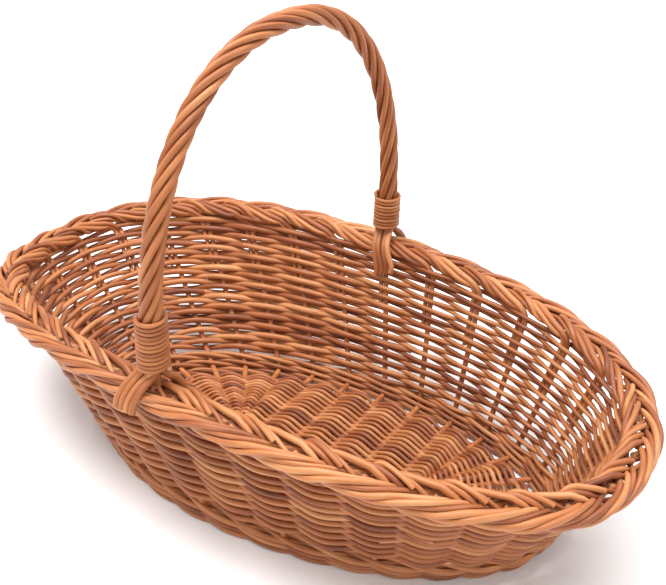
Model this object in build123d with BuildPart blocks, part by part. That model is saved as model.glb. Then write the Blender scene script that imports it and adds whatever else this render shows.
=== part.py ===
from build123d import *
import math
import os

# Oval willow market basket: a stick-and-weave base, stakes that rise from it, bands of weaving
# around them, a plaited border and a roped bow handle. Millimetres, +X along the basket, +Y across
# it from front to back, +Z up. The origin is on the table under the middle of the rim's outline.

# Border: the plait's centre-line is an oval that sits lower at the two ends
BORDER_HALF_LENGTH = 260.0
BORDER_HALF_WIDTH = 136.5
RIM_POWER = 2.44
BORDER_HALF_BREADTH = 15.0
BORDER_HALF_THICKNESS = 6.5
BORDER_ROUNDING = 4.5
RIM_HEIGHT = 121.0
RIM_DIP_SQUARE = 10.5
RIM_DIP_FOURTH = 12.0

# Wall: the stakes run straight from the foot oval to the head oval. The foot is hand-set: it sits
# nearer the +X end, is turned a little, and the first stake starts a little before its tip.
HEAD_HALF_LENGTH = 251.0
HEAD_HALF_WIDTH = 126.5
FOOT_HALF_LENGTH = 176.0
FOOT_HALF_WIDTH = 95.4
FOOT_POWER = 2.02
FOOT_CENTRE = (32.0, -10.5)
FOOT_TURN = 9.5
FOOT_START = -8.4
WALL_HALF_THICKNESS = 5.0
WALL_TOP_GAP = 1.2
STAKE_COUNT = 30
STAKE_CROWDING = 0.10
STAKE_RADIUS = 2.2
BYE_STAKE_RADIUS = 1.9
BYE_STAKE_SIDE_STEP = 4.7
BYE_STAKE_LENGTH = 44.0
TOE_LENGTH = 22.0
TOE_BEND = 6.0
STAKE_TOP_CUT = 1.4
STAKE_CHANNEL_OVERRUN = 4.0

# Levels of the weaving, from the table up
WALE_HEIGHT = 16.0
WALE_HALF_THICKNESS = 5.6
LOWER_WEAVE_TOP = 49.0
MIDDLE_WEAVE_TOP = 82.0

# Base
BASE_LEVEL = 7.0
BASE_BOTTOM = 1.2
BASE_TOP = 12.8
BASE_EDGE_GAP = 10.5
CROSS_STICK_RADIUS = 3.7
LONG_STICK_RADIUS = 2.1
LONG_STICK_STEP = 5.0
LONG_STICK_INSET = 16.0
END_STICK_RADIUS = 2.6
END_STICK_START = 27.0
END_STICK_SIDE_GAP = 10.2
BINDING_HALF_LENGTH = 112.0
BINDING_HALF_WIDTH = 28.0

# Handle: a bow in a nearly crosswise upright plane
HANDLE_X = -14.8
HANDLE_TURN = -3.6
HANDLE_HALF_SPAN = 134.0
HANDLE_SPRING_HEIGHT = 166.0
HANDLE_RISE = 176.0
HANDLE_POWER = 2.23
CORE_RADIUS = 3.4
CORE_HEAD_SPAN = 126.0
CORE_END_HEIGHT = 85.0
FRONT_CORE_END_SPAN = 121.0
BACK_CORE_END_SPAN = 116.0
FRONT_CORE_LEAN = (0.0, 0.0)
BACK_CORE_LEAN = (-4.6, -4.6)
ROD_COUNT = 6
ROD_RADIUS = 2.5
ROD_RING_RADIUS = 6.2
ROD_PITCH_FRONT = 84.0
ROD_PITCH_BACK = 150.0
TAIL_START = 138.0

# Collars that bind the feet of the handle
COLLAR_ROD_RADIUS = 1.6
COLLAR_CLEARANCE = 0.5
COLLAR_BOTTOM = 141.0
FRONT_COLLAR_TURNS = 10
BACK_COLLAR_TURNS = 8
COLLAR_PITCH = 3.4

CLEARANCE = 0.15
OUTLINE_POINTS = 40
BORDER_SECTIONS = 48


def oval(half_length, half_width, power, angle):
    c, s = math.cos(angle), math.sin(angle)
    x = half_length * math.copysign(abs(c) ** (2 / power), c)
    y = half_width * math.copysign(abs(s) ** (2 / power), s)
    return x, y


def resample(points, fractions):
    """The points at these fractions of the length of a polyline."""
    lengths = [0.0]
    for before, after in zip(points, points[1:]):
        lengths.append(lengths[-1] + math.dist(before, after))
    found, index = [], 0
    for fraction in fractions:
        target = fraction * lengths[-1]
        while index < len(points) - 2 and lengths[index + 1] < target:
            index += 1
        blend = (target - lengths[index]) / (lengths[index + 1] - lengths[index])
        before, after = points[index], points[index + 1]
        found.append(tuple(p + (q - p) * blend for p, q in zip(before, after)))
    return found


def oval_at(half_length, half_width, power, fractions, start=0.0):
    """Points of an oval at fractions of its length, anticlockwise from a start near the +X tip."""
    first = math.radians(start)
    fine = [oval(half_length, half_width, power, first + math.tau * i / 3600) for i in range(3601)]
    return resample(fine, fractions)


def foot_at(fractions):
    """Points of the foot oval, which is turned and set off from the middle of the rim."""
    turn = math.radians(FOOT_TURN)
    placed = []
    for x, y in oval_at(FOOT_HALF_LENGTH, FOOT_HALF_WIDTH, FOOT_POWER, fractions, FOOT_START):
        along = FOOT_CENTRE[0] + x * math.cos(turn) - y * math.sin(turn)
        across = FOOT_CENTRE[1] + x * math.sin(turn) + y * math.cos(turn)
        placed.append((along, across))
    return placed


def offset_loop(points, distance):
    """A closed loop of points moved outwards, square to its own direction."""
    moved = []
    for i, (x, y) in enumerate(points):
        ahead, behind = points[(i + 1) % len(points)], points[i - 1]
        dx, dy = ahead[0] - behind[0], ahead[1] - behind[1]
        size = math.hypot(dx, dy)
        moved.append((x + distance * dy / size, y - distance * dx / size))
    return moved


def rim_height(x):
    share = x / (BORDER_HALF_LENGTH + BORDER_HALF_BREADTH)
    return RIM_HEIGHT - RIM_DIP_SQUARE * share**2 - RIM_DIP_FOURTH * share**4


def wall_top(x):
    """Height of the top of the wall, just under the border that stands outside it."""
    return rim_height(x * BORDER_HALF_LENGTH / HEAD_HALF_LENGTH) - BORDER_HALF_THICKNESS - WALL_TOP_GAP


def spread(fraction):
    """Crowds evenly counted places a little towards the two ends of the basket."""
    return fraction - STAKE_CROWDING * math.sin(4 * math.pi * fraction) / (4 * math.pi)


def wall_lines(fractions):
    """Foot and head of the wall's middle surface at these fractions of the way round."""
    feet = foot_at(fractions)
    heads = oval_at(HEAD_HALF_LENGTH, HEAD_HALF_WIDTH, RIM_POWER, fractions)
    lines = []
    for foot, head in zip(feet, heads):
        top = Vector(head[0], head[1], wall_top(head[0]))
        lines.append((Vector(foot[0], foot[1], 0), top))
    return lines


def wall_outline(height, distance):
    """The wall's outline at a height, moved outwards from its middle surface."""
    points = []
    for foot, head in wall_lines([i / OUTLINE_POINTS for i in range(OUTLINE_POINTS)]):
        point = foot + (head - foot) * (height / head.Z)
        points.append((point.X, point.Y))
    return offset_loop(points, distance)


def write(piece, name):
    piece.part.label = name
    export_step(piece.part, f"parts/{name}.step")


os.makedirs("parts", exist_ok=True)

stake_fractions = [spread((i + 0.5) / STAKE_COUNT) for i in range(STAKE_COUNT)]
stake_lines = wall_lines(stake_fractions)


# ---------------------------------------------------------------- layout of the base
def foot_place(station):
    """A place on the foot oval, counted in stakes."""
    fraction = spread(station / STAKE_COUNT) % 1
    return Vector(*foot_at([fraction])[0])


def stick_end(station):
    """Where a base stick ends, a little inside the foot oval."""
    along = (foot_place(station + 0.1) - foot_place(station - 0.1)).normalized()
    return foot_place(station) + Vector(-along.Y, along.X, 0) * BASE_EDGE_GAP


stick_ends = [stick_end(station) for station in range(STAKE_COUNT)]
CROSS_STATIONS = range(5, 11)
END_STATIONS = {"right": (-4, -3, -2, -1, 1, 2, 3, 4), "left": (11, 12, 13, 14, 16, 17, 18, 19)}
long_axis = (stick_ends[0] - stick_ends[15]).normalized()
short_axis = Vector(-long_axis.Y, long_axis.X, 0)


def hub(station):
    """Where a cross stick passes over the middle line of the base."""
    near, far = stick_ends[station], stick_ends[STAKE_COUNT - station]
    before, after = (near - stick_ends[15]).dot(short_axis), (far - stick_ends[15]).dot(short_axis)
    return near + (far - near) * (before / (before - after))


right_hub = hub(5)
left_hub = hub(10)


# ---------------------------------------------------------------- stakes and bye-stakes
def inward(line):
    """The level direction of a stake's toe: along the cross sticks, fanned at the two ends."""
    index = stake_lines.index(line)
    if index < 5 or index > 24:
        return (right_hub - line[0]).normalized()
    if 9 < index < 20:
        return (left_hub - line[0]).normalized()
    near = stick_ends[index] + stick_ends[index + 1]
    far = stick_ends[STAKE_COUNT - index] + stick_ends[STAKE_COUNT - index - 1]
    return Vector(far.X - near.X, far.Y - near.Y, 0).normalized()


def stake_path(line, cut):
    """A level toe inside the base edge, a bend, and a straight run that ends short of the head."""
    foot, head = line
    up = (head - foot).normalized()
    corner = foot + up * (BASE_LEVEL / up.Z)
    toe = inward(line)
    bend_in, bend_up = corner + toe * TOE_BEND, corner + up * TOE_BEND
    middle = (bend_in + bend_up) * 0.5
    crown = corner + (middle - corner) * 0.52
    with BuildLine() as path:
        Line(corner + toe * TOE_LENGTH, bend_in)
        Spline(bend_in, crown, bend_up, tangents=(-toe, up))
        Line(bend_up, head - up * cut)
    return path.line


def add_stakes(lines, radius, cut):
    """Sweeps one round stake along each line, inside the part that is being built."""
    for line in lines:
        path = stake_path(line, cut)
        with BuildSketch(Plane(origin=path @ 0, z_dir=path % 0)) as section:
            Circle(radius)
        sweep(section.sketch, path=path)


def bye_side(line):
    """The level direction along the wall, anticlockwise, at the head of a stake."""
    index = stake_lines.index(line)
    before = stake_lines[index - 1][1]
    after = stake_lines[(index + 1) % STAKE_COUNT][1]
    return Vector(after.X - before.X, after.Y - before.Y, 0).normalized()


def add_bye_stakes(lines, radius, length):
    """One straight bye-stake beside each stake, from below the border downwards."""
    for line in lines:
        foot, head = line
        up = (head - foot).normalized()
        side = bye_side(line)
        top = head + side * (BYE_STAKE_SIDE_STEP / side.cross(up).length) - up
        with BuildSketch(Plane(origin=top, z_dir=-up)) as section:
            Circle(radius)
        extrude(section.sketch, amount=length)


stake_groups = {
    "right": stake_lines[-4:] + stake_lines[:4],
    "back": stake_lines[4:11],
    "left": stake_lines[11:19],
    "front": stake_lines[19:26],
}
for side, lines in stake_groups.items():
    with BuildPart() as side_stakes:
        add_stakes(lines, STAKE_RADIUS, STAKE_TOP_CUT)
    write(side_stakes, f"side_stakes_{side}")
    with BuildPart() as bye_stakes:
        add_bye_stakes(lines, BYE_STAKE_RADIUS, BYE_STAKE_LENGTH)
    write(bye_stakes, f"bye_stakes_{side}")

with BuildPart() as stake_channels:
    add_stakes(stake_lines, STAKE_RADIUS + CLEARANCE, -STAKE_CHANNEL_OVERRUN)
with BuildPart() as bye_stake_channels:
    add_bye_stakes(stake_lines, BYE_STAKE_RADIUS + CLEARANCE, BYE_STAKE_LENGTH + CLEARANCE)


# ---------------------------------------------------------------- handle core
def on_handle(span, height):
    """A place in the handle's upright plane: distance from its middle, and height."""
    turn = math.radians(HANDLE_TURN)
    return Vector(HANDLE_X - span * math.sin(turn), span * math.cos(turn), height)


def handle_arch(count):
    """Evenly spaced (span, height) places along the bow, from the front foot to the back foot."""
    fine = [(-HANDLE_HALF_SPAN, TAIL_START)]
    for i in range(721):
        span, rise = oval(HANDLE_HALF_SPAN, HANDLE_RISE, HANDLE_POWER, math.pi * (1 - i / 720))
        fine.append((span, HANDLE_SPRING_HEIGHT + rise))
    fine.append((HANDLE_HALF_SPAN, TAIL_START))
    return resample(fine, [i / (count - 1) for i in range(count)])


def core_leg(sign):
    """The hidden end of the core, which slides down inside the wall beside a stake."""
    head_lean, end_lean = FRONT_CORE_LEAN if sign < 0 else BACK_CORE_LEAN
    end_span = FRONT_CORE_END_SPAN if sign < 0 else BACK_CORE_END_SPAN
    places = [
        on_handle(sign * HANDLE_HALF_SPAN, TAIL_START),
        on_handle(sign * (HANDLE_HALF_SPAN - 3.5), TAIL_START - 16) + Vector(0.8 * head_lean, 0, 0),
        on_handle(sign * CORE_HEAD_SPAN, TAIL_START - 28) + Vector(head_lean, 0, 0),
        on_handle(sign * end_span, CORE_END_HEIGHT) + Vector(end_lean, 0, 0),
    ]
    with BuildLine() as leg:
        Spline(*places, tangents=(Vector(0, 0, -1), places[3] - places[2]))
    return leg.line


def add_core_leg(sign, radius):
    leg = core_leg(sign)
    with BuildSketch(Plane(origin=leg @ 0, z_dir=leg % 0)) as section:
        Circle(radius)
    sweep(section.sketch, path=leg)


with BuildPart() as handle_core:
    with BuildLine() as bow:
        Spline(*[on_handle(*place) for place in handle_arch(33)])
    with BuildSketch(Plane(origin=bow.line @ 0, z_dir=bow.line % 0)):
        Circle(CORE_RADIUS)
    sweep(path=bow.line)
    add_core_leg(-1, CORE_RADIUS)
    add_core_leg(1, CORE_RADIUS)
write(handle_core, "handle_core")

with BuildPart() as core_channel:
    add_core_leg(-1, CORE_RADIUS + CLEARANCE)
    add_core_leg(1, CORE_RADIUS + CLEARANCE)


# ---------------------------------------------------------------- walls
def add_outline(points):
    """A filled closed outline through these points, in the sketch that is being built."""
    with BuildLine() as outline:
        Spline(*points, periodic=True)
    make_face(outline.edges())


def add_band(bottom, top, half_thickness):
    """A flared oval band of the wall between two heights."""
    for distance, mode in ((half_thickness, Mode.ADD), (-half_thickness, Mode.SUBTRACT)):
        with BuildSketch(Plane.XY.offset(bottom)) as low:
            add_outline(wall_outline(bottom, distance))
        with BuildSketch(Plane.XY.offset(top)) as high:
            add_outline(wall_outline(top, distance))
        loft([low.sketch, high.sketch], ruled=True, mode=mode)


def cut_above_wall():
    """Takes away everything above the dipping top of the wall."""
    reach = BORDER_HALF_LENGTH + 60
    line = [(x, wall_top(x)) for x in (reach * i / 10 for i in range(-10, 11))]
    with BuildSketch(Plane.XZ) as side_view:
        with BuildLine():
            Spline(*line)
            Polyline(line[-1], (reach, RIM_HEIGHT + 90), (-reach, RIM_HEIGHT + 90), line[0])
        make_face()
    extrude(side_view.sketch, amount=reach, both=True, mode=Mode.SUBTRACT)


with BuildPart() as upsett_wale:
    add_band(0, WALE_HEIGHT, WALE_HALF_THICKNESS)
    add(stake_channels.part, mode=Mode.SUBTRACT)
write(upsett_wale, "upsett_wale")

with BuildPart() as lower_weave:
    add_band(WALE_HEIGHT + CLEARANCE, LOWER_WEAVE_TOP, WALL_HALF_THICKNESS)
    add(stake_channels.part, mode=Mode.SUBTRACT)
write(lower_weave, "lower_weave")

with BuildPart() as middle_weave:
    add_band(LOWER_WEAVE_TOP + CLEARANCE, MIDDLE_WEAVE_TOP, WALL_HALF_THICKNESS)
    add(stake_channels.part, mode=Mode.SUBTRACT)
    add(bye_stake_channels.part, mode=Mode.SUBTRACT)
write(middle_weave, "middle_weave")

with BuildPart() as upper_weave:
    add_band(MIDDLE_WEAVE_TOP + CLEARANCE, RIM_HEIGHT, WALL_HALF_THICKNESS)
    cut_above_wall()
    add(stake_channels.part, mode=Mode.SUBTRACT)
    add(bye_stake_channels.part, mode=Mode.SUBTRACT)
    add(core_channel.part, mode=Mode.SUBTRACT)
write(upper_weave, "upper_weave")

# ---------------------------------------------------------------- border
def border_place(station):
    """A place on the border's centre-line, in sections counted from the +X tip."""
    fraction = station % BORDER_SECTIONS / BORDER_SECTIONS
    x, y = oval_at(BORDER_HALF_LENGTH, BORDER_HALF_WIDTH, RIM_POWER, [fraction])[0]
    return Vector(x, y, rim_height(x))


def border_plane(station):
    """The plane square to the border at a station, with its local X pointing outwards."""
    along = border_place(station + 0.25) - border_place(station - 0.25)
    return Plane(origin=border_place(station), x_dir=along.cross(Vector(0, 0, 1)), z_dir=along)


with BuildPart() as plaited_border:
    half_way = BORDER_SECTIONS // 2
    for first in (0, half_way):
        sections = []
        for station in range(first, first + half_way + 1):
            with BuildSketch(border_plane(station)) as section:
                RectangleRounded(2 * BORDER_HALF_BREADTH, 2 * BORDER_HALF_THICKNESS, BORDER_ROUNDING)
            sections.append(section.sketch)
        loft(sections)
    add(core_channel.part, mode=Mode.SUBTRACT)
write(plaited_border, "plaited_border")


# ---------------------------------------------------------------- roping rods of the handle
def rod_turn(fraction, length):
    """How far the rods have wound round the core at this fraction of the bow's length."""
    front, back = 1 / ROD_PITCH_FRONT, 1 / ROD_PITCH_BACK
    return 2 * math.pi * length * (front * fraction + (back - front) * fraction**2 / 2)


def wound_rod(phase):
    """Centre-line places of one rod as it winds round the core from foot to foot."""
    count = 65
    arch = handle_arch(count)
    length = sum(math.dist(p, q) for p, q in zip(arch, arch[1:]))
    places = []
    for i, (span, height) in enumerate(arch):
        before, after = arch[max(i - 1, 0)], arch[min(i + 1, count - 1)]
        run, climb = after[0] - before[0], after[1] - before[1]
        size = math.hypot(run, climb)
        angle = phase + rod_turn(i / (count - 1), length)
        out, aside = ROD_RING_RADIUS * math.cos(angle), ROD_RING_RADIUS * math.sin(angle)
        place = on_handle(span - out * climb / size, height + out * run / size)
        places.append(place + aside_step(aside))
    return places


def aside_step(distance):
    """A step square to the handle's plane."""
    turn = math.radians(HANDLE_TURN)
    return Vector(math.cos(turn), math.sin(turn), 0) * distance


for number in range(ROD_COUNT):
    places = wound_rod(2 * math.pi * (number + 0.5) / ROD_COUNT)
    with BuildPart() as handle_rod:
        with BuildLine() as rod_line:
            Spline(*places)
        path = rod_line.line
        with BuildSketch(Plane(origin=path @ 0, z_dir=path % 0)):
            Circle(ROD_RADIUS)
        sweep(path=path)
    write(handle_rod, f"handle_rod_{number + 1}")

# ---------------------------------------------------------------- collars
for side, sign, turns in (("front", -1, FRONT_COLLAR_TURNS), ("back", 1, BACK_COLLAR_TURNS)):
    ring = ROD_RING_RADIUS + ROD_RADIUS + COLLAR_CLEARANCE + COLLAR_ROD_RADIUS
    foot = on_handle(sign * HANDLE_HALF_SPAN, COLLAR_BOTTOM)
    with BuildPart() as collar:
        with BuildLine() as coil:
            Helix(COLLAR_PITCH, COLLAR_PITCH * turns, ring, center=foot)
        path = coil.line
        with BuildSketch(Plane(origin=path @ 0, z_dir=path % 0)):
            Circle(COLLAR_ROD_RADIUS)
        sweep(path=path, is_frenet=True)
    write(collar, f"{side}_collar")

# ---------------------------------------------------------------- base
def add_stick(start, end, radius):
    """A straight round stick at the base's middle level."""
    start, end = Vector(start.X, start.Y, BASE_LEVEL), Vector(end.X, end.Y, BASE_LEVEL)
    with BuildSketch(Plane(origin=start, z_dir=end - start)) as section:
        Circle(radius)
    extrude(section.sketch, amount=(end - start).length)


def add_long_sticks(radius):
    """Three sticks side by side along the middle of the base; the outer two stop a little short."""
    for row in (-1, 0, 1):
        step, inset = short_axis * (row * LONG_STICK_STEP), long_axis * (abs(row) * LONG_STICK_INSET)
        add_stick(stick_ends[15] + step + inset, stick_ends[0] + step - inset, radius)


def add_cross_sticks(radius):
    for station in CROSS_STATIONS:
        add_stick(stick_ends[STAKE_COUNT - station], stick_ends[station], radius)


def add_end_sticks(stations, radius):
    """Sticks that fan out from the last cross stick to the end of the base."""
    middle = right_hub if stations[0] < 0 else left_hub
    for station in stations:
        end = stick_ends[station]
        way = (end - middle).normalized()
        reach = max(END_STICK_START, END_STICK_SIDE_GAP / abs(way.dot(short_axis)))
        add_stick(middle + way * reach, end, radius)


with BuildPart() as base_long_sticks:
    add_long_sticks(LONG_STICK_RADIUS)
write(base_long_sticks, "base_long_sticks")

with BuildPart() as long_stick_channels:
    add_long_sticks(LONG_STICK_RADIUS + CLEARANCE)

with BuildPart() as base_cross_sticks:
    add_cross_sticks(CROSS_STICK_RADIUS)
    add(long_stick_channels.part, mode=Mode.SUBTRACT)
write(base_cross_sticks, "base_cross_sticks")

with BuildPart() as cross_stick_channels:
    add_cross_sticks(CROSS_STICK_RADIUS + CLEARANCE)

with BuildPart() as end_stick_channels:
    for stations in END_STATIONS.values():
        add_end_sticks(stations, END_STICK_RADIUS + CLEARANCE)

for side, stations in END_STATIONS.items():
    with BuildPart() as base_end_sticks:
        add_end_sticks(stations, END_STICK_RADIUS)
    write(base_end_sticks, f"base_end_sticks_{side}")

base_middle = (stick_ends[0] + stick_ends[15]) * 0.5
outline_fractions = [i / OUTLINE_POINTS for i in range(OUTLINE_POINTS)]
binding_outline = []
for x, y in oval_at(BINDING_HALF_LENGTH, BINDING_HALF_WIDTH, 2.2, outline_fractions):
    place = base_middle + long_axis * x + short_axis * y
    binding_outline.append((place.X, place.Y))
with BuildPart() as base_binding:
    with BuildSketch(Plane.XY.offset(BASE_BOTTOM)):
        add_outline(binding_outline)
    extrude(amount=BASE_TOP - BASE_BOTTOM)
    for channels in (long_stick_channels, cross_stick_channels, end_stick_channels):
        add(channels.part, mode=Mode.SUBTRACT)
write(base_binding, "base_binding")

with BuildPart() as base_weave:
    with BuildSketch(Plane.XY.offset(BASE_BOTTOM)):
        add_outline(wall_outline(0, -(WALE_HALF_THICKNESS + BASE_EDGE_GAP)))
    extrude(amount=BASE_TOP - BASE_BOTTOM)
    with BuildSketch(Plane.XY.offset(BASE_BOTTOM)):
        add_outline(offset_loop(binding_outline, CLEARANCE))
    extrude(amount=BASE_TOP - BASE_BOTTOM, mode=Mode.SUBTRACT)
    for channels in (long_stick_channels, cross_stick_channels, end_stick_channels, stake_channels):
        add(channels.part, mode=Mode.SUBTRACT)
write(base_weave, "base_weave")
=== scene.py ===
import bpy
import math
import numpy as np
from mathutils import Matrix, Vector


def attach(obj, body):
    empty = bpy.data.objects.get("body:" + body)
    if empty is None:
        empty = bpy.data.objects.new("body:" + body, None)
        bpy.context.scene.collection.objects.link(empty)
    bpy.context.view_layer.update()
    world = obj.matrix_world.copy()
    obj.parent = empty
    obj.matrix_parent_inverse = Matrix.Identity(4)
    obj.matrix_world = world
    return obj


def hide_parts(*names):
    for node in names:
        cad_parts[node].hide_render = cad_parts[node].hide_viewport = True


# Looks of the willow market basket. Every rod is its own swept round length, woven in, out, over and
# under its neighbours. Lengths are millimetres until a mesh is written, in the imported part's frame.

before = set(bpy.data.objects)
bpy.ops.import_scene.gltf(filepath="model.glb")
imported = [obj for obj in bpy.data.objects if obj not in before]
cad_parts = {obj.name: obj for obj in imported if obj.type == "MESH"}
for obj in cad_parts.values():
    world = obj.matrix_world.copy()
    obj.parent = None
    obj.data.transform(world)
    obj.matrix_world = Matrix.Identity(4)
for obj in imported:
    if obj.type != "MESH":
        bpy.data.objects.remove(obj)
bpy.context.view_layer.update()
rng = np.random.default_rng(11)
MM = 0.001
TAU = 2 * math.pi
UP = np.array([0.0, 0.0, 1.0])

# ------------------------------------------------------------------ driving sizes
STAKES = 30
CROWDING = 0.10
BORDER_OVAL = (260.0, 136.5)
HEAD_OVAL = (251.0, 126.5)
FOOT_OVAL = (176.0, 95.4)
RIM_POWER = 2.44
FOOT_POWER = 2.02
FOOT_CENTRE = (32.0, -10.5)
FOOT_TURN = math.radians(9.5)
FOOT_START = math.radians(-8.4)
RIM_HEIGHT = 121.0
RIM_REACH = 275.0
RIM_DIP_SQUARE = 10.5
RIM_DIP_FOURTH = 12.0
BORDER_HALF_THICKNESS = 6.5
WALL_TOP_GAP = 1.2
WALL_CREST = 113.7

WALE_LEVELS = (3.9, 8.9, 13.8)
WALE_STRANDS = 3
WALE_RADIUS = 1.95
WALE_SHIFT = 0.7
WALE_REACH = 3.9
WALE_RISE = 1.5
WEAVE_START = 15.4
WEAVE_ROWS = 28
WEAVE_REACH = 3.9
WEAVE_OVERRUN = 2.0
WEAVER_LENGTHS = (13, 21)
WEAVER_OVERLAP = 0.9
WEAVER_BUTTS = (2.25, 2.45)
WEAVER_TIP = 2.0
# the weavers are thicker where the wall leans and its rows lie further apart, up to a limit
STEEPEST_SLANT = 1.07
SLANT_LIMIT = 1.3

BASE_LEVEL = 7.0
BASE_GAP = 10.5
BASE_ROWS = 14
BASE_INNER_ROWS = 3
BASE_FIRST_ROW = 3.0
BASE_PITCH = 5.8
BASE_REACH = 77.0
BASE_SWAY = 1.45
BASE_WEAVER_RUN = 620
BASE_BUTTS = (1.72, 1.88)
BASE_TIPS = (1.45, 1.6)
BACK_SLIT = 0.065
HUB_HALF_LENGTH = 12.0
HUB_HALF_WIDTH = 9.0

BRAID_HALF_WIDTH = 9.8
BRAID_HALF_DEPTH = 3.2
BRAID_LAG = 0.45
BRAID_TILT = math.radians(8)
BRAID_PASSES = 260
BRAID_CLEARANCE = 0.35
# radii at the start and the end of a bundle's stake, bye-stake and extra rod
BRAID_RADII = ((2.35, 1.8), (2.2, 1.7), (2.4, 2.1))
BYE_STAKE_STEP = 4.7
BYE_STAKE_SHARE = 0.109
# a stake's way out of the wall: up, over to the side, and along under the inner edge
BRAID_ENTRY = np.array(
    [(0, -9.5, -14), (0, -9.6, -8), (2.5, -10.4, -4.6), (11, -11.2, -3.0), (21, -11.0, -1.2)]
)

HANDLE_X = -14.8
HANDLE_TURN = math.radians(-3.6)
HANDLE_HALF_SPAN = 134.0
HANDLE_SPRING = 166.0
HANDLE_RISE = 176.0
HANDLE_POWER = 2.23
HANDLE_FOOT = 138.0
HANDLE_RODS = 6
# past the collar, by foot (-1 front, 1 back): rods that go out over the border, the rest go inside
OVER_RODS = {-1: 4, 1: 2}
OVER_COURSE = ((141.5, 134.5), (146.5, 130.6), (151.0, 125.6), (154.2, 119.8), (155.8, 114.0))
OVER_DRIFT = {-1: -7.0, 1: 4.0}
INSIDE_COURSE = {
    -1: ((127.0, 132.5), (120.5, 127.0), (117.6, 119.0), (116.0, 110.0)),
    1: ((127.0, 133.0), (120.0, 127.5), (117.0, 119.5), (115.6, 111.0), (114.2, 105.5)),
}
INSIDE_DRIFT = {-1: 7.0, 1: 13.0}
PITCH_FRONT = 84.0
PITCH_BACK = 150.0
BOW_POINTS = 260
CORE_RADIUS = 3.4
CORE_END = (131.5, 124.0)
# side, foot, turns, pitch and starting angle of each collar
COLLARS = (("front", -1, 12.2, 3.2, 0.4), ("back", 1, 9.3, 3.1, 2.2))
COLLAR_FOOT = 139.8
COLLAR_RING = 9.6
COLLAR_RADII = (1.6, 1.4)


# ------------------------------------------------------------------ curves
def unit(v):
    return v / np.linalg.norm(v, axis=-1, keepdims=True)


def oval(half_length, half_width, power, angle):
    c, s = np.cos(angle), np.sin(angle)
    x = half_length * np.sign(c) * np.abs(c) ** (2 / power)
    y = half_width * np.sign(s) * np.abs(s) ** (2 / power)
    return np.stack([x, y], -1)


class Loop:
    """A closed flat outline that gives places at fractions of its length."""

    def __init__(self, points):
        self.points = np.vstack([points, points[:1]])
        steps = np.hypot(*np.diff(self.points, axis=0).T)
        self.run = np.concatenate([[0.0], np.cumsum(steps)])
        self.length = self.run[-1]

    def at(self, fraction):
        run = np.mod(fraction, 1) * self.length
        return np.stack([np.interp(run, self.run, self.points[:, k]) for k in (0, 1)], -1)


def oval_loop(size, power):
    return Loop(oval(*size, power, np.arange(7200) * TAU / 7200))


def even(points, step):
    """The same polyline with evenly spaced points."""
    run = np.concatenate([[0.0], np.cumsum(np.linalg.norm(np.diff(points, axis=0), axis=1))])
    count = max(3, int(round(run[-1] / step)) + 1)
    places = np.linspace(0, run[-1], count)
    return np.stack([np.interp(places, run, points[:, k]) for k in range(points.shape[1])], -1)


def smooth_path(points, step, inner=10):
    """A smooth curve through the points, evenly spaced."""
    p = np.vstack([2 * points[0] - points[1], points, 2 * points[-1] - points[-2]])
    t = (np.arange(inner) / inner)[:, None, None]
    a, b, c, d = p[:-3], p[1:-2], p[2:-1], p[3:]
    bends = (2 * a - 5 * b + 4 * c - d) * t**2 + (3 * b - a - 3 * c + d) * t**3
    curve = 0.5 * (2 * b + (c - a) * t + bends)
    curve = curve.transpose(1, 0, 2).reshape(-1, points.shape[1])
    return even(np.vstack([curve, points[-1:]]), step)


def ripple(run, waves, size):
    """A smooth random wander along a rod, from a few long sine waves."""
    total = np.zeros_like(run)
    for wave in waves:
        total += np.sin(TAU * run / wave + rng.uniform(0, TAU)) * rng.uniform(0.5, 1.0)
    return total * size / len(waves)


border_loop = oval_loop(BORDER_OVAL, RIM_POWER)
head_loop = oval_loop(HEAD_OVAL, RIM_POWER)
foot_angles = FOOT_START + np.arange(7200) * TAU / 7200
foot_turner = np.array(
    [[math.cos(FOOT_TURN), math.sin(FOOT_TURN)], [-math.sin(FOOT_TURN), math.cos(FOOT_TURN)]]
)
foot_loop = Loop(oval(*FOOT_OVAL, FOOT_POWER, foot_angles) @ foot_turner + FOOT_CENTRE)
STEP = border_loop.length / STAKES


def spread(q):
    """Fraction of the way round at a stake count, with stakes crowded a little to the ends."""
    f = q / STAKES
    return f - CROWDING * np.sin(4 * math.pi * f) / (4 * math.pi)


def rim_height(x):
    share = x / RIM_REACH
    return RIM_HEIGHT - RIM_DIP_SQUARE * share**2 - RIM_DIP_FOURTH * share**4


def wall_ends(q):
    """Foot and head of the wall's middle surface in plan at a stake count, and the head's height."""
    f = spread(q)
    foot, head = foot_loop.at(f), head_loop.at(f)
    top = rim_height(head[..., 0] * BORDER_OVAL[0] / HEAD_OVAL[0]) - BORDER_HALF_THICKNESS - WALL_TOP_GAP
    return foot, head, top


def wall_top(q):
    return wall_ends(q)[2]


def wall_slant(q):
    """How much longer the leaning wall is, from foot to head, than where it stands steepest."""
    foot, head, top = wall_ends(q)
    slant = np.hypot(np.hypot(*(head - foot).T), top) / top / STEEPEST_SLANT
    return np.minimum(slant, SLANT_LIMIT)


def wall(q, height, out):
    """Places on the wall at a stake count, a height and a distance outwards, and the way out."""
    foot, head, top = wall_ends(q)
    foot_on, head_on, _ = wall_ends(q + 0.05)
    share = (height / top)[:, None]
    flat = foot + (head - foot) * share
    ahead = foot_on + (head_on - foot_on) * share
    along = np.column_stack([ahead - flat, np.zeros(len(flat))])
    climb = np.column_stack([head - foot, top])
    way_out = unit(np.cross(along, climb))
    return np.column_stack([flat, height]) + way_out * np.reshape(out, (-1, 1)), way_out


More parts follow.
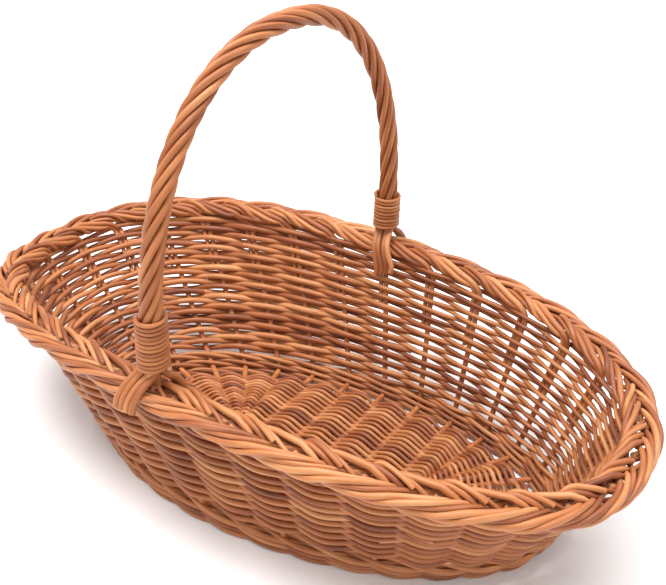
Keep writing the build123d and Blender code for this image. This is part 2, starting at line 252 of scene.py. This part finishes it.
# ------------------------------------------------------------------ rods
class Rods:
    """Collects swept rods and writes them as one mesh with a tone and a grain direction each."""

    def __init__(self):
        self.points, self.grain, self.tone, self.cut = [], [], [], []
        self.quads, self.caps = [], []
        self.total = 0

    def add(self, path, radius, guide, sides=10, tone=None, caps=(True, True)):
        count = len(path)
        radius = np.broadcast_to(radius, count).astype(float)
        tangent = unit(np.gradient(path, axis=0))
        across = unit(np.cross(tangent, np.broadcast_to(guide, path.shape)))
        second = np.cross(across, tangent)
        angle = np.arange(sides) * TAU / sides
        run = np.concatenate([[0.0], np.cumsum(np.linalg.norm(np.diff(path, axis=0), axis=1))])
        swell = 1 + ripple(run, (23.0, 61.0, 140.0), 0.035)
        lobe = 1 + 0.035 * np.cos(2 * angle + rng.uniform(0, TAU))
        lobe = lobe + 0.015 * np.cos(3 * angle + rng.uniform(0, TAU))
        reach = (radius * swell)[:, None] * lobe[None, :]
        spin = np.cos(angle)[None, :, None] * across[:, None]
        spin = spin + np.sin(angle)[None, :, None] * second[:, None]
        skin = path[:, None] + reach[..., None] * spin
        tone = rng.uniform(0, 1) if tone is None else tone
        shift = rng.uniform(0, 900, 3)
        grain = np.empty((count, sides, 3))
        grain[..., 0] = run[:, None] + shift[0]
        grain[..., 1] = np.cos(angle)[None] * radius[:, None] + shift[1]
        grain[..., 2] = np.sin(angle)[None] * radius[:, None] + shift[2]
        index = self.total + np.arange(count * sides).reshape(count, sides)
        turned = np.roll(index, -1, axis=1)
        self.quads.append(np.stack([index[:-1], turned[:-1], turned[1:], index[1:]], -1).reshape(-1, 4))
        self.push(skin, grain, tone, 0.0)
        for wanted, row, order in ((caps[0], 0, -1), (caps[1], -1, 1)):
            if wanted:
                self.caps.append(self.total + np.arange(sides)[::order])
                self.push(skin[row], grain[row], tone, 1.0)

    def push(self, skin, grain, tone, cut):
        skin = skin.reshape(-1, 3)
        self.points.append(skin)
        self.grain.append(grain.reshape(-1, 3))
        self.tone.append(np.full(len(skin), tone))
        self.cut.append(np.full(len(skin), cut))
        self.total += len(skin)

    def write(self, name, material, slot, *nodes):
        quads = np.concatenate(self.quads)
        mesh = bpy.data.meshes.new(name)
        points = np.concatenate(self.points) * MM
        mesh.vertices.add(len(points))
        mesh.vertices.foreach_set("co", points.astype(np.float32).ravel())
        loops = np.concatenate([quads.ravel(), *self.caps]).astype(np.int32)
        sizes = np.array([4] * len(quads) + [len(c) for c in self.caps])
        starts = np.concatenate([[0], np.cumsum(sizes)[:-1]]).astype(np.int32)
        mesh.loops.add(len(loops))
        mesh.loops.foreach_set("vertex_index", loops)
        mesh.polygons.add(len(sizes))
        mesh.polygons.foreach_set("loop_start", starts)
        mesh.update(calc_edges=True)
        mesh.validate()
        mesh.polygons.foreach_set("use_smooth", np.ones(len(sizes), bool))
        grain = mesh.attributes.new("grain", "FLOAT_VECTOR", "POINT")
        grain.data.foreach_set("vector", np.concatenate(self.grain).astype(np.float32).ravel())
        for label, values in (("tone", self.tone), ("cut", self.cut)):
            attribute = mesh.attributes.new(label, "FLOAT", "POINT")
            attribute.data.foreach_set("value", np.concatenate(values).astype(np.float32))
        piece = bpy.data.objects.new(name, mesh)
        bpy.context.scene.collection.objects.link(piece)
        mesh.materials.append(material)
        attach(piece, "root")
        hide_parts(*nodes)


# ------------------------------------------------------------------ willow material
def willow(name, shade=1.0, warmth=0.0, rods=True):
    """Peeled, boiled willow: tone differs from rod to rod, with lengthwise grain and satin skin."""
    material = bpy.data.materials.new(name)
    material.use_nodes = True
    nodes, links = material.node_tree.nodes, material.node_tree.links
    bsdf = nodes["Principled BSDF"]

    def node(kind, **values):
        made = nodes.new(kind)
        for key, value in values.items():
            setattr(made, key, value)
        return made

    def maths(operation, a, b):
        made = node("ShaderNodeMath", operation=operation)
        for socket, value in zip(made.inputs, (a, b)):
            if isinstance(value, (int, float)):
                socket.default_value = value
            else:
                links.new(value, socket)
        return made.outputs[0]

    if rods:
        place = node("ShaderNodeAttribute", attribute_name="grain").outputs["Vector"]
        tone = node("ShaderNodeAttribute", attribute_name="tone").outputs["Fac"]
        cut = node("ShaderNodeAttribute", attribute_name="cut").outputs["Fac"]
    else:
        coordinates = node("ShaderNodeNewGeometry").outputs["Position"]
        scale = node("ShaderNodeVectorMath", operation="SCALE")
        scale.inputs["Scale"].default_value = 1000.0
        links.new(coordinates, scale.inputs[0])
        place = scale.outputs[0]
        tone, cut = None, None

    def noise(stretch, detail):
        mapping = node("ShaderNodeMapping")
        mapping.inputs["Scale"].default_value = stretch
        links.new(place, mapping.inputs["Vector"])
        made = node("ShaderNodeTexNoise")
        made.inputs["Scale"].default_value = 1.0
        made.inputs["Detail"].default_value = detail
        links.new(mapping.outputs[0], made.inputs["Vector"])
        return made.outputs["Fac"]

    blotch = noise((0.022, 0.10, 0.10), 3.0)
    streak = noise((0.035, 1.3, 1.3), 4.0)
    fibre = noise((0.12, 4.5, 4.5), 3.0)
    fleck = noise((0.16, 0.9, 0.9), 2.0)

    level = maths("MULTIPLY", tone, 0.62) if tone is not None else 0.30
    level = maths("ADD", level, maths("MULTIPLY", maths("SUBTRACT", blotch, 0.5), 1.1))
    level = maths("ADD", level, maths("MULTIPLY", maths("SUBTRACT", streak, 0.5), 0.55))
    level = maths("ADD", level, 0.19)
    ramp = node("ShaderNodeValToRGB")
    stops = (
        (0.0, (0.155, 0.034, 0.008)),
        (0.3, (0.300, 0.083, 0.021)),
        (0.6, (0.440, 0.151, 0.043)),
        (1.0, (0.600, 0.272, 0.108)),
    )
    elements = ramp.color_ramp.elements
    while len(elements) < len(stops):
        elements.new(0.5)
    for element, (position, colour) in zip(elements, stops):
        red, green, blue = (channel * shade for channel in colour)
        element.position = position
        element.color = (red, green * (1 - warmth), blue * (1 - 2 * warmth), 1)
    links.new(level, ramp.inputs[0])
    colour = ramp.outputs["Color"]

    dark = node("ShaderNodeMix", data_type="RGBA", blend_type="MULTIPLY")
    speck = node("ShaderNodeMapRange")
    speck.inputs["From Min"].default_value = 0.66
    speck.inputs["From Max"].default_value = 0.78
    speck.inputs["To Max"].default_value = 0.55
    links.new(fleck, speck.inputs["Value"])
    links.new(speck.outputs[0], dark.inputs["Factor"])
    links.new(colour, dark.inputs["A"])
    dark.inputs["B"].default_value = (0.45, 0.26, 0.17, 1)
    colour = dark.outputs["Result"]
    if cut is not None:
        end = node("ShaderNodeMix", data_type="RGBA")
        links.new(cut, end.inputs["Factor"])
        links.new(colour, end.inputs["A"])
        end.inputs["B"].default_value = (0.60, 0.34, 0.19, 1)
        colour = end.outputs["Result"]
    links.new(colour, bsdf.inputs["Base Color"])

    gloss = node("ShaderNodeMapRange")
    gloss.inputs["To Min"].default_value = 0.36
    gloss.inputs["To Max"].default_value = 0.62
    links.new(streak, gloss.inputs["Value"])
    links.new(gloss.outputs[0], bsdf.inputs["Roughness"])
    bsdf.inputs["Specular IOR Level"].default_value = 0.45
    bsdf.inputs["Coat Weight"].default_value = 0.12
    bsdf.inputs["Coat Roughness"].default_value = 0.35
    bsdf.inputs["Sheen Weight"].default_value = 0.05

    height = maths("ADD", maths("MULTIPLY", fibre, 0.6), maths("MULTIPLY", streak, 0.8))
    bump = node("ShaderNodeBump")
    bump.inputs["Strength"].default_value = 0.35
    bump.inputs["Distance"].default_value = 0.0004
    links.new(height, bump.inputs["Height"])
    links.new(bump.outputs[0], bsdf.inputs["Normal"])
    return material


looks = {
    "base_sticks": willow("base_sticks", 0.85, 0.03, rods=False),
    "base_weaving": willow("base_weaving", 1.0, 0.0),
    "border_rods": willow("border_rods", 1.05, 0.0),
    "collar_rod": willow("collar_rod", 1.0, 0.02),
    "handle_rods": willow("handle_rods", 1.0, 0.02),
    "stakes": willow("stakes", 1.15, 0.02, rods=False),
    "stakes_rod": willow("stakes_rod", 1.0, 0.02),
    "waling": willow("waling", 0.95, 0.02),
    "wall_weaving": willow("wall_weaving", 0.95, 0.03),
}

# ------------------------------------------------------------------ CAD rods that stay as they are
KEPT = {
    "stakes": ("side_stakes", "bye_stakes"),
    "base_sticks": ("base_cross_sticks", "base_long_sticks", "base_end_sticks"),
}
for slot_name, prefixes in KEPT.items():
    for node_name, node_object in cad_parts.items():
        if node_name.startswith(prefixes):
            for material_slot in node_object.material_slots:
                material_slot.material = looks[slot_name]


# ------------------------------------------------------------------ waling at the foot of the wall
def make_waling():
    rods = Rods()
    for level in WALE_LEVELS:
        turned = rng.uniform(0, STAKES)
        for strand in range(WALE_STRANDS):
            q = turned + STAKES / WALE_STRANDS * strand + np.arange(0, STAKES + 0.6, 0.07)
            phase = TAU * (q - 0.5 + strand) / WALE_STRANDS - math.pi / 3
            run = q * STEP
            out = WALE_SHIFT + WALE_REACH * np.cos(phase) + ripple(run, (90.0, 210.0), 0.2)
            height = level - WALE_RISE * np.sin(phase) + ripple(run, (150.0, 330.0), 0.2)
            path, way_out = wall(q, height, out)
            path[:, 2] = np.maximum(path[:, 2], WALE_RADIUS * 1.1 + 0.2)
            fade = np.linspace(1.06, 0.9, len(q))
            rods.add(path, WALE_RADIUS * fade, way_out, sides=12)
    rods.write("waling_rods", looks["waling"], "waling", "upsett_wale")


# ------------------------------------------------------------------ woven wall
def openness(q):
    """How thin the weaving rods are: most open at the back right, a little at the left end."""
    back_right = 0.5 + 0.5 * np.cos(TAU * (q - 3.0) / STAKES)
    left = np.exp(-((np.mod(q, STAKES) - 14.5) ** 2) / 6.0)
    return np.clip(back_right**2.5 + 0.6 * left, 0, 1)


def make_wall():
    """Two weavers chase each other round the wall, each spliced on when the last one runs out."""
    bands = {
        "lower_weaving": ("lower_weave", Rods()),
        "middle_weaving": ("middle_weave", Rods()),
        "upper_weaving": ("upper_weave", Rods()),
    }
    names = list(bands)
    for weaver in (0, 1):
        whole = STAKES * WEAVE_ROWS / 2
        start = rng.uniform(-6, 0)
        while start < whole:
            length = rng.uniform(*WEAVER_LENGTHS)
            q = np.arange(max(start, 0), min(start + length + WEAVER_OVERLAP, whole), 0.075)
            if len(q) < 12:
                break
            row = (2 * q / STAKES + weaver + 0.5) / WEAVE_ROWS
            top = wall_top(q) + WEAVE_OVERRUN
            run = q * STEP
            share = (q - start) / (length + WEAVER_OVERLAP)
            lift = 0.9 * np.clip((share - 0.93) / 0.07, 0, 1)
            height = WEAVE_START + row * (top - WEAVE_START)
            height = height + ripple(run, (110.0, 240.0, 75.0), 0.75) + lift
            swing = math.pi * (q - 0.5 + weaver)
            out = WEAVE_REACH * (np.cos(swing) + 0.04 * np.cos(3 * swing)) / 1.04
            out += ripple(run, (95.0, 170.0), 0.25)
            path, way_out = wall(q, height, out)
            squeeze = (top - WEAVE_START) / (WALL_CREST - WEAVE_START)
            butt = rng.uniform(*WEAVER_BUTTS)
            radius = (butt + (WEAVER_TIP - butt) * share**0.8) * squeeze**0.7
            radius *= (1.03 - 0.2 * openness(q)) * wall_slant(q)
            band = names[min(2, int(3 * np.mean(row)))]
            bands[band][1].add(path, radius, way_out, sides=10, caps=(start > 0, True))
            start += length
    for name, (node_name, rods) in bands.items():
        rods.write(name, looks["wall_weaving"], "wall_weaving", node_name)


# ------------------------------------------------------------------ base
FINE = 20
fine_station = np.arange(STAKES * FINE + 1) / FINE


def base_edge(q):
    """Where the base sticks end, a little inside the foot, at a stake count."""
    along = unit(foot_loop.at(spread(q + 0.1)) - foot_loop.at(spread(q - 0.1)))
    return foot_loop.at(spread(q)) + np.column_stack([-along[:, 1], along[:, 0]]) * BASE_GAP


def hub_outline(edge):
    """The small outline round the middle sticks, one place for each stick end, and the base's frame."""
    last = edge[STAKES // 2]
    axis = unit(edge[0] - last)
    side = np.array([-axis[1], axis[0]])

    def crossing(station):
        near, far = edge[station], edge[STAKES - station]
        before, after = (near - last) @ side, (far - last) @ side
        return near + (far - near) * before / (before - after)

    hub = edge.copy()
    for station in range(STAKES):
        if 5 <= station <= 10 or 20 <= station <= 25:
            way = unit(edge[station] - edge[STAKES - station])
            hub[station] = crossing(station) + way * HUB_HALF_WIDTH
        else:
            centre = crossing(10 if 10 < station < 20 else 5)
            way = unit(edge[station] - centre)
            lengthwise = axis * (way @ axis) * HUB_HALF_LENGTH
            hub[station] = centre + lengthwise + side * (way @ side) * HUB_HALF_WIDTH
    return hub, axis, (edge[0] + last) / 2


def smooth_hub(hub):
    """The hub's outline as a smooth curve, at the fine stations."""
    wrapped = np.vstack([hub[-3:], hub, hub[:4]])
    t = (np.arange(FINE) / FINE)[:, None, None]
    a, b, c, d = wrapped[:-3], wrapped[1:-2], wrapped[2:-1], wrapped[3:]
    bends = (2 * a - 5 * b + 4 * c - d) * t**2 + (3 * b - a - 3 * c + d) * t**3
    curve = (0.5 * (2 * b + (c - a) * t + bends)).transpose(1, 0, 2).reshape(-1, 2)
    first = 2 * FINE
    return curve[first : first + STAKES * FINE + 1]


def make_base():
    """Pairs of rods woven over and under the sticks, in rounds that grow from the hub to the edge."""
    edge = base_edge(np.arange(STAKES))
    fine_edge = base_edge(fine_station)
    hub, axis, middle = hub_outline(edge)
    fine_hub = smooth_hub(hub)
    sets = {"base_inner_rows": ("base_binding", Rods()), "base_rows": ("base_weave", Rods())}
    for row in range(BASE_ROWS):
        share = (BASE_FIRST_ROW + BASE_PITCH * row) / BASE_REACH
        back = np.clip(np.cos(TAU * (fine_station - 7.0) / STAKES), 0, 1)
        share = (share * (1 - BACK_SLIT * share * back))[:, None]
        inner = fine_hub * (1 - share) + fine_edge * share
        pieces = rng.uniform(0, STAKES)
        for strand in (0, 1):
            begin = pieces + rng.uniform(8, 22) * strand
            around = Loop(inner[:-1]).length
            splits = max(1, int(round(around / BASE_WEAVER_RUN)))
            for part in range(splits):
                reach = STAKES / splits
                u = begin + part * reach + np.arange(0, reach + 0.5, 0.05)
                station = np.mod(u, STAKES)
                flat = np.stack([np.interp(station, fine_station, inner[:, k]) for k in (0, 1)], -1)
                slope = np.gradient(flat, axis=0)
                gap = np.linalg.norm(slope, axis=1) / 0.05
                crosswise = unit(np.column_stack([slope[:, 1], -slope[:, 0]]))
                end_zone = np.clip((np.abs((flat - middle) @ axis) - 78) / 13, 0, 1)
                reach_up = (5.35 - 1.0 * end_zone) * np.clip(gap / 13, 0.25, 1)
                turn = math.pi * (u + strand)
                run = u * 38
                swing = (np.cos(turn) + 0.09 * np.cos(3 * turn)) / 1.09
                height = BASE_LEVEL + reach_up * swing
                side = BASE_SWAY * np.sin(turn) + ripple(run, (90.0, 200.0), 0.3)
                path = np.column_stack([flat + crosswise * side[:, None], height])
                radius = np.linspace(rng.uniform(*BASE_BUTTS), rng.uniform(*BASE_TIPS), len(u))
                path[:, 2] = np.maximum(path[:, 2], radius + 0.15)
                label = "base_inner_rows" if row < BASE_INNER_ROWS else "base_rows"
                resampled = even(np.column_stack([path, radius]), 2.9)
                sets[label][1].add(resampled[:, :3], resampled[:, 3], UP, sides=10)
    for name, (node_name, rods) in sets.items():
        rods.write(name, looks["base_weaving"], "base_weaving", node_name)


# ------------------------------------------------------------------ plaited border
def braid_guess(shift, first, last, count):
    """A rod's unrelaxed course: along the rim, outwards and up, in a straightened border."""
    phase = np.linspace(first, last, count) * math.pi
    along = STEP * (shift + 3 / TAU * (phase - BRAID_LAG * np.sin(phase)) + 0.05 * phase)
    out = -BRAID_HALF_WIDTH * np.cos(phase)
    high = BRAID_HALF_DEPTH * np.tanh(1.6 * np.sin(2 * phase)) / math.tanh(1.6)
    return np.column_stack([along, out, high])


def relaxed_braid():
    """The three rods of one bundle, pushed apart from each other and from the bundles beside it."""
    stake = np.vstack([BRAID_ENTRY, braid_guess(0.62, 0.25, 2.5, 90)])
    bye = np.vstack([BRAID_ENTRY + (BYE_STAKE_STEP, 0, 0), braid_guess(0.75, 0.25, 2.6, 90)])
    extra = braid_guess(0.42, 0.37, 1.8, 60)
    rods = [smooth_path(p, 4.5) for p in (stake, bye, extra)]
    rest = np.vstack(rods)
    radius = np.concatenate([np.linspace(a, b, len(p)) for p, (a, b) in zip(rods, BRAID_RADII)])
    owner = np.concatenate([np.full(len(p), k) for k, p in enumerate(rods)])
    order = np.concatenate([np.arange(len(p)) for p in rods])
    held = (order < 4) & (owner < 2)
    place = rest.copy()
    for _ in range(BRAID_PASSES):
        push = np.zeros_like(place)
        for k in range(-5, 6):
            other = place + (k * STEP, 0, 0)
            gap = place[:, None] - other[None]
            size = np.linalg.norm(gap, axis=2)
            need = radius[:, None] + radius[None] + BRAID_CLEARANCE - size
            if k == 0:
                need[owner[:, None] == owner[None]] = -1
            need = np.clip(need, 0, None)
            gap[..., 0] = 0
            across = np.linalg.norm(gap, axis=2) + 1e-6
            push += (gap / across[..., None] * (need * 0.22)[..., None]).sum(1)
        move = np.clip(push, -0.6, 0.6)
        move[held] = 0
        shift = place + move - rest
        for k in range(3):
            mine = shift[owner == k]
            padded = np.vstack([mine[:1], mine, mine[-1:]])
            shift[owner == k] = 0.5 * mine + 0.25 * (padded[:-2] + padded[2:])
        shift *= 0.997
        shift[held] = 0
        place = rest + shift
    return [(place[owner == k], radius[owner == k]) for k in range(3)]


def border_frame(q):
    """The border's centre-line at a stake count, and its tilted outward and upward directions."""
    def centre(count):
        flat = border_loop.at(spread(count))
        return np.column_stack([flat, rim_height(flat[:, 0])])

    middle = centre(q)
    along = unit(centre(q + 0.02) - centre(q - 0.02))
    out = unit(np.cross(along, UP))
    high = np.cross(out, along)
    c, s = math.cos(BRAID_TILT), math.sin(BRAID_TILT)
    return middle, c * out - s * high, c * high + s * out


def make_border():
    rods = Rods()
    bundle = relaxed_braid()
    for stake in range(STAKES):
        for kind, (course, radius) in enumerate(bundle):
            q = stake + 0.5 + course[:, 0] / STEP
            middle, out, high = border_frame(q)
            run = course[:, 0]
            sideways = course[:, 1] + ripple(run, (60.0, 130.0), 0.45)
            upward = course[:, 2] + ripple(run, (70.0, 150.0), 0.35)
            path = middle + out * sideways[:, None] + high * upward[:, None]
            if kind < 2:
                foot = np.array([stake + 0.5 + BYE_STAKE_SHARE * kind] * 2)
                top = wall_top(foot) - (9.0, 2.0)
                start, _ = wall(foot, top, np.zeros(2))
                path = np.vstack([start, path[3:]])
                radius = radius[1:]
                out = out[1:]
            both = smooth_path(np.column_stack([path, radius, out]), 2.4, inner=6)
            scale = rng.uniform(0.92, 1.08)
            rods.add(both[:, :3], both[:, 3] * scale, both[:, 4:7], sides=14, caps=(kind == 2, True))
    rods.write("border_plait", looks["border_rods"], "border_rods", "plaited_border")


# ------------------------------------------------------------------ handle
def on_handle(span, height, aside):
    """Places by their reach across the basket (front -, back +), height and step to the side."""
    c, s = math.cos(HANDLE_TURN), math.sin(HANDLE_TURN)
    return np.stack([HANDLE_X - span * s + aside * c, span * c + aside * s, height], -1)


def bow_line(count):
    """The bow's centre-line as reach and height, from the front foot to the back, and its length."""
    angle = math.pi * (1 - np.arange(1441) / 1440)
    arch = oval(HANDLE_HALF_SPAN, HANDLE_RISE, HANDLE_POWER, angle) + (0, HANDLE_SPRING)
    line = np.vstack([(-HANDLE_HALF_SPAN, HANDLE_FOOT), arch, (HANDLE_HALF_SPAN, HANDLE_FOOT)])
    run = np.concatenate([[0.0], np.cumsum(np.hypot(*np.diff(line, axis=0).T))])
    places = np.linspace(0, run[-1], count)
    return np.stack([np.interp(places, run, line[:, k]) for k in (0, 1)], -1), run[-1]


def make_handle():
    """Roping rods wound round the bow; at each foot some go over the border and the rest inside."""
    line, length = bow_line(BOW_POINTS)
    share = np.linspace(0, 1, len(line))
    turn = TAU * length * (share / PITCH_FRONT + (1 / PITCH_BACK - 1 / PITCH_FRONT) * share**2 / 2)
    way = unit(np.gradient(line, axis=0))
    waist = np.sin(math.pi * share) ** 0.7
    guide = np.array([math.cos(HANDLE_TURN), math.sin(HANDLE_TURN), 0.0])
    phases = TAU * (np.arange(HANDLE_RODS) + 0.5) / HANDLE_RODS
    rank = {}
    for sign, winding in ((-1, 0.0), (1, turn[-1])):
        leaving = np.argsort(-np.cos(phases + winding))
        for group, members in enumerate((leaving[: OVER_RODS[sign]], leaving[OVER_RODS[sign] :])):
            order = np.argsort(np.sin(phases[members] + winding))
            for slot, member in enumerate(members[order]):
                rank[sign, member] = (group, slot - (len(members) - 1) / 2)
    for number in range(HANDLE_RODS):
        rods = Rods()
        angle = phases[number] + turn + 0.10 * np.sin(5 * share + number)
        ring = 5.95 - 0.55 * waist - 0.35 * share
        out, aside = ring * np.cos(angle), ring * np.sin(angle)
        body = on_handle(line[:, 0] - out * way[:, 1], line[:, 1] + out * way[:, 0], aside)
        ends = []
        for sign, index in ((-1, 0), (1, -1)):
            group, slot = rank[sign, number]
            course = (OVER_COURSE, INSIDE_COURSE[sign])[group]
            landing = slot * 4.7 + (OVER_DRIFT, INSIDE_DRIFT)[group][sign]
            steps = []
            for k, (reach, height) in enumerate(course, 1):
                blend = min(1.0, k / (len(course) - 1)) ** (0.7 if group == 0 else 1.3)
                across = aside[index] * (1 - blend) + landing * blend
                steps.append(on_handle(sign * reach, height + 2.2 * slot * blend * group, across))
            ends.append(np.array(steps))
        path = np.vstack([ends[0][::-1], body[2:-2:3], ends[1]])
        path = smooth_path(path, 2.4, inner=6)
        along = np.linspace(0, 1, len(path))
        forward = number % 2 == 0
        radius = 2.55 - 0.28 * np.sin(math.pi * along) ** 0.8 - 0.12 * along
        radius += (0.10 - 0.2 * along) if forward else (0.2 * along - 0.10)
        rods.add(path, radius, guide, sides=16, tone=0.25 + 0.5 * rng.uniform())
        name = f"handle_rod_{number + 1}"
        rods.write(f"roping_rod_{number + 1}", looks["handle_rods"], "handle_rods", name)


def make_core():
    """The straight core that the roping rods hide, ended out of sight inside the border."""
    line = bow_line(BOW_POINTS)[0]
    bow = on_handle(line[:, 0], line[:, 1], np.zeros(len(line)))
    reach, height = CORE_END
    ends = [on_handle(sign * reach, height, 0.0) for sign in (-1, 1)]
    rods = Rods()
    path = smooth_path(np.vstack([ends[0], bow[::4], ends[1]]), 4.0, inner=4)
    rods.add(path, CORE_RADIUS, np.array([1.0, 0.0, 0.0]), sides=12)
    rods.write("core_rod", looks["stakes_rod"], "stakes", "handle_core")


def make_collars():
    """A thin rod wound round each foot of the bow, with its two ends lifted a little."""
    for side, sign, turns, pitch, first in COLLARS:
        rods = Rods()
        angle = np.linspace(0, turns * TAU, int(turns * 40)) + first
        run = angle * 10
        climb = (angle - angle[0]) / TAU * pitch + COLLAR_FOOT
        ring = COLLAR_RING + ripple(run, (47.0, 120.0), 0.35)
        loose = np.clip((np.abs(angle - angle.mean()) - (turns / 2 - 0.12) * TAU) / 0.7, 0, 1)
        ring += 1.2 * loose
        centre = on_handle(np.full(len(angle), sign * HANDLE_HALF_SPAN), climb, np.zeros(len(angle)))
        ring_way = np.column_stack([np.cos(angle), np.sin(angle), np.zeros(len(angle))])
        path = centre + ring_way * ring[:, None]
        path[:, 2] += ripple(run, (60.0, 140.0), 0.35)
        radius = np.linspace(*COLLAR_RADII, len(angle))
        rods.add(path, radius, UP, sides=12, tone=0.55)
        rods.write(f"{side}_collar_coil", looks["collar_rod"], "collar_rod", f"{side}_collar")


make_waling()
make_wall()
make_base()
make_border()
make_handle()
make_core()
make_collars()


# ------------------------------------------------------------------ floor, light and camera
def flat_material(name, colour, roughness):
    material = bpy.data.materials.new(name)
    material.use_nodes = True
    shader = material.node_tree.nodes["Principled BSDF"]
    shader.inputs["Base Color"].default_value = (*colour, 1)
    shader.inputs["Roughness"].default_value = roughness
    return material


FLOOR_HALF = 6.0
floor_corners = [(x * FLOOR_HALF, y * FLOOR_HALF, 0) for x, y in ((-1, -1), (1, -1), (1, 1), (-1, 1))]
floor_mesh = bpy.data.meshes.new("floor")
floor_mesh.from_pydata(floor_corners, [], [(0, 1, 2, 3)])
floor_mesh.materials.append(flat_material("floor_paper", (0.93, 0.93, 0.93), 0.9))
floor = bpy.data.objects.new("floor", floor_mesh)
bpy.context.scene.collection.objects.link(floor)


def aim(item, target):
    way = Vector(target) - item.location
    item.rotation_euler = way.to_track_quat("-Z", "Y").to_euler()


def area_light(name, place, target, size, power):
    data = bpy.data.lights.new(name, "AREA")
    data.size = size
    data.energy = power
    light = bpy.data.objects.new(name, data)
    light.location = place
    aim(light, target)
    bpy.context.scene.collection.objects.link(light)


area_light("key", (-0.45, -0.45, 1.9), (0, 0, 0.1), 0.9, 38)
area_light("fill", (1.5, -1.2, 1.0), (0, 0, 0.12), 1.5, 6)
area_light("top", (0.4, 0.6, 2.0), (0, 0, 0.1), 1.2, 24)

bpy.context.scene.view_settings.view_transform = "Standard"
world = bpy.data.worlds.new("studio")
bpy.context.scene.world = world
world.use_nodes = True
surround = world.node_tree.nodes["Background"]
surround.inputs["Color"].default_value = (1, 1, 1, 1)
surround.inputs["Strength"].default_value = 0.74

# camera: where it looks, how far away it is, and its angles in radians
AZIMUTH, ELEVATION, ROLL = 0.5562, 0.5093, 0.0417
TARGET = Vector((-0.0143, 0.0826, 0.1252))
DISTANCE = 0.8431
back = Vector(
    (
        math.sin(AZIMUTH) * math.cos(ELEVATION),
        -math.cos(AZIMUTH) * math.cos(ELEVATION),
        math.sin(ELEVATION),
    )
)
right = Vector((math.cos(AZIMUTH), math.sin(AZIMUTH), 0))
upward = back.cross(right)
right_rolled = right * math.cos(ROLL) + upward * math.sin(ROLL)
up_rolled = upward * math.cos(ROLL) - right * math.sin(ROLL)
camera_data = bpy.data.cameras.new("camera")
camera_data.sensor_width = 36
camera_data.lens = 56.04
camera_data.shift_x = -0.0168
camera_data.shift_y = -0.0476
camera = bpy.data.objects.new("camera", camera_data)
turned = Matrix((right_rolled, up_rolled, back)).transposed().to_4x4()
camera.matrix_world = Matrix.Translation(TARGET + back * DISTANCE) @ turned
bpy.context.scene.collection.objects.link(camera)
bpy.context.scene.camera = camera
